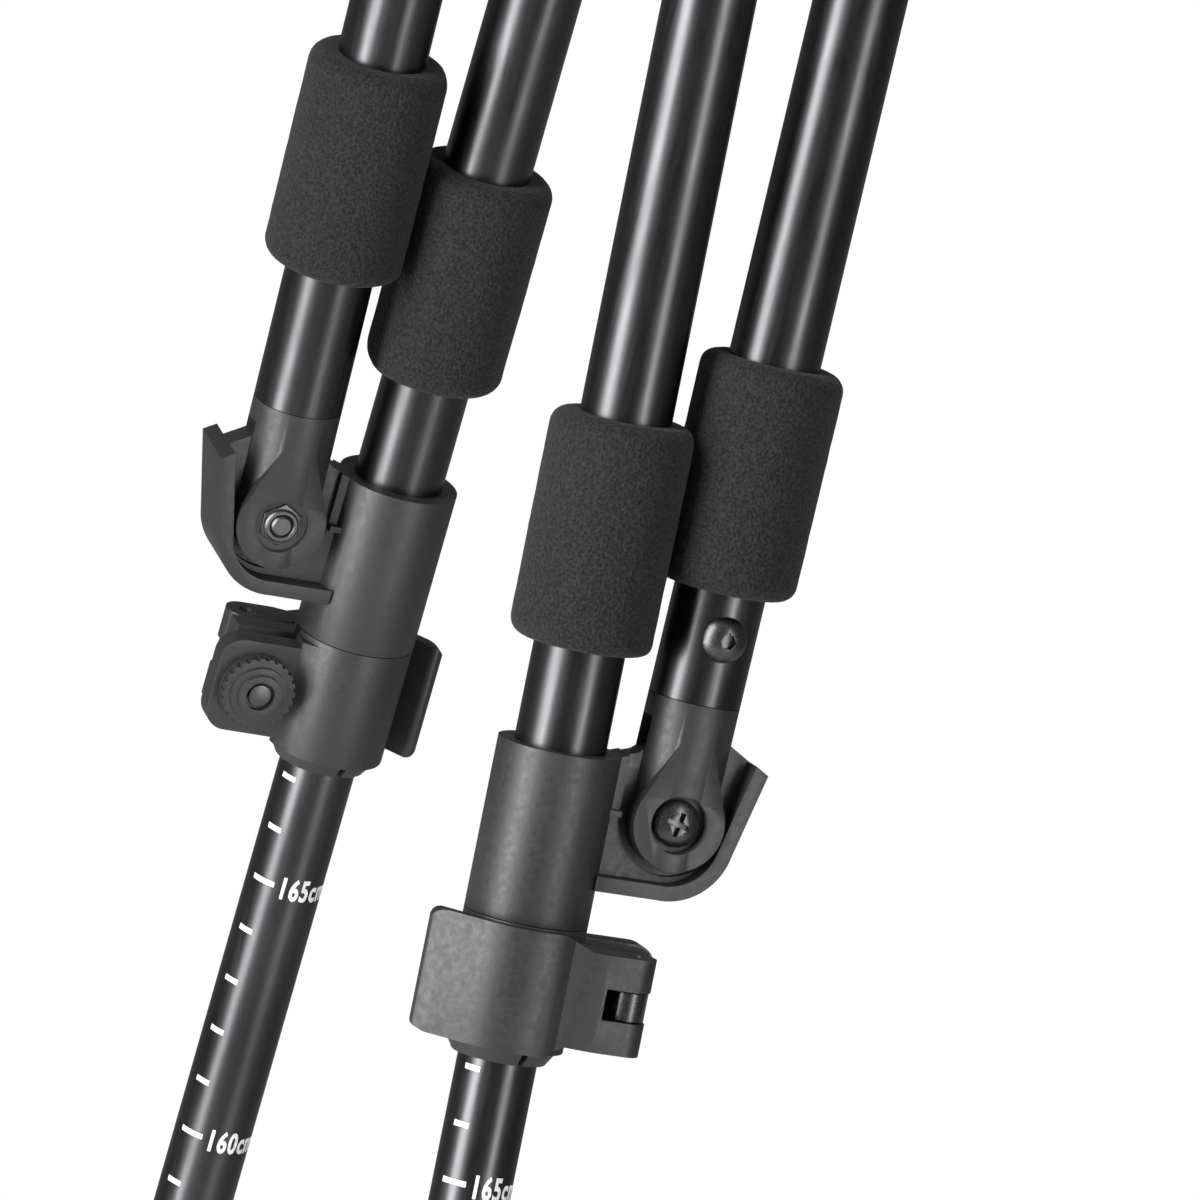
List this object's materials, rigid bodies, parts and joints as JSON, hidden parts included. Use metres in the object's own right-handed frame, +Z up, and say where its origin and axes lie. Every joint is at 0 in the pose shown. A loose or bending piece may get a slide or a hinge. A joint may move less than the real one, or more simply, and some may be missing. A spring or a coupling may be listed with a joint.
{
  "type": "folding support sticks",
  "caption": "Folding double-V support sticks: crossed telescoping legs with hinged arm tubes, flip-lever clamps and foam sleeves.",
  "frame": {"origin": "ground level midway between the two feet, under the crossings", "axes": "+Z up, X along the line through both crossings with the right arm towards +X, Y across the two legs, right leg at -Y"},
  "size_m": [0.1152, 0.3736, 1.7837],
  "materials": {
    "anodised_tube": "satin black anodised, fine draw lines",
    "moulded_nylon": "fine spark texture, soft sheen",
    "foam": "closed-cell foam, matte fine grain",
    "dark_steel": "black oxide, slightly oily",
    "rubber": "matte moulded rubber"
  },
  "bodies": {
    "left_leg": {"left_main_tube": "anodised_tube", "left_hinge_bracket": "moulded_nylon", "left_clamp_band": "moulded_nylon", "left_cam_pin": "dark_steel", "left_tension_bolt": "dark_steel", "left_main_foam": "foam", "left_main_cap": "moulded_nylon", "left_main_sleeve": "foam", "left_main_saddle": "moulded_nylon"},
    "left_arm": {"left_arm_tube": "anodised_tube", "left_arm_fork": "moulded_nylon", "left_hinge_screw": "dark_steel", "left_hinge_nut": "dark_steel", "left_fork_screw": "dark_steel", "left_arm_foam": "foam", "left_arm_cap": "moulded_nylon", "left_arm_sleeve": "foam", "left_arm_saddle": "moulded_nylon"},
    "left_lower": {"left_lower_tube": "anodised_tube", "left_tube_guide": "moulded_nylon", "left_foot_ferrule": "moulded_nylon", "left_steel_tip": "dark_steel", "left_rubber_foot": "rubber"},
    "left_lever": {"left_clamp_lever": "moulded_nylon"},
    "left_wheel": {"left_thumb_wheel": "moulded_nylon"},
    "right_leg": {"right_main_tube": "anodised_tube", "right_hinge_bracket": "moulded_nylon", "right_clamp_band": "moulded_nylon", "right_cam_pin": "dark_steel", "right_tension_bolt": "dark_steel", "right_main_foam": "foam", "right_main_cap": "moulded_nylon", "right_main_sleeve": "foam", "right_main_saddle": "moulded_nylon"},
    "right_arm": {"right_arm_tube": "anodised_tube", "right_arm_fork": "moulded_nylon", "right_hinge_screw": "dark_steel", "right_hinge_nut": "dark_steel", "right_fork_screw": "dark_steel", "right_arm_foam": "foam", "right_arm_cap": "moulded_nylon", "right_arm_sleeve": "foam", "right_arm_saddle": "moulded_nylon"},
    "right_lower": {"right_lower_tube": "anodised_tube", "right_tube_guide": "moulded_nylon", "right_foot_ferrule": "moulded_nylon", "right_steel_tip": "dark_steel", "right_rubber_foot": "rubber"},
    "right_lever": {"right_clamp_lever": "moulded_nylon"},
    "right_wheel": {"right_thumb_wheel": "moulded_nylon"},
    "front_pivot": {"front_bolt": "dark_steel", "front_nut": "dark_steel", "front_washers": "dark_steel"},
    "front_spacer": {"front_bush": "rubber"},
    "rear_pivot": {"rear_bolt": "dark_steel", "rear_nut": "dark_steel", "rear_washers": "dark_steel", "rear_bush": "rubber"}
  },
  "joints": [
    {"name": "right_hinge", "type": "hinge", "parent": "right_arm", "child": "right_leg", "pos_m": [0.012, -0.0857, 0.84553], "axis": [0, -0.9945, 0.1045], "range_deg": [0, 11.4]},
    {"name": "left_hinge", "type": "hinge", "parent": "left_leg", "child": "left_arm", "pos_m": [-0.012, 0.0857, 0.84553], "axis": [0, -0.9945, -0.1045], "range_deg": [0, 11.4]},
    {"name": "front_tilt_near", "type": "hinge", "parent": "front_pivot", "child": "left_leg", "pos_m": [0.01378, 0, 1.66092], "axis": [0, 0.9945, 0.1045], "range_deg": [0, 5.7]},
    {"name": "leg_spread", "type": "hinge", "parent": "front_pivot", "child": "front_spacer", "pos_m": [0.01378, 0, 1.66092], "axis": [-1, 0, 0], "range_deg": [-8, 12]},
    {"name": "front_tilt_far", "type": "hinge", "parent": "front_spacer", "child": "right_arm", "pos_m": [0.03778, 0, 1.66092], "axis": [0, 0.9945, -0.1045], "range_deg": [0, 5.7]},
    {"name": "rear_tilt", "type": "hinge", "parent": "left_arm", "child": "rear_pivot", "pos_m": [-0.03778, 0, 1.66092], "axis": [0, 0.9945, 0.1045], "range_deg": [0, 5.7]},
    {"name": "left_extend", "type": "slide", "parent": "left_leg", "child": "left_lower", "axis": [-0.0052, 0.1045, -0.9945], "range_m": [-0.69, 0.055]},
    {"name": "left_lever_flip", "type": "hinge", "parent": "left_leg", "child": "left_lever", "pos_m": [-0.00817, 0.09896, 0.81508], "axis": [0.0052, -0.1045, 0.9945], "range_deg": [0, 150]},
    {"name": "left_wheel_turn", "type": "hinge", "parent": "left_leg", "child": "left_wheel", "pos_m": [-0.00817, 0.08105, 0.8132], "axis": [0, -0.9945, -0.1045], "continuous": true},
    {"name": "right_extend", "type": "slide", "parent": "right_leg", "child": "right_lower", "axis": [0.0052, -0.1045, -0.9945], "range_m": [-0.69, 0.055]},
    {"name": "right_lever_flip", "type": "hinge", "parent": "right_leg", "child": "right_lever", "pos_m": [0.00817, -0.09896, 0.81508], "axis": [-0.0052, 0.1045, 0.9945], "range_deg": [0, 150]},
    {"name": "right_wheel_turn", "type": "hinge", "parent": "right_leg", "child": "right_wheel", "pos_m": [0.00817, -0.08105, 0.8132], "axis": [0, 0.9945, -0.1045], "continuous": true}
  ],
  "couplings": [
    {"joint": "left_hinge", "follows": "right_hinge", "ratio": 1},
    {"joint": "front_tilt_near", "follows": "right_hinge", "ratio": 0.5},
    {"joint": "front_tilt_far", "follows": "right_hinge", "ratio": 0.5},
    {"joint": "rear_tilt", "follows": "right_hinge", "ratio": 0.5}
  ]
}
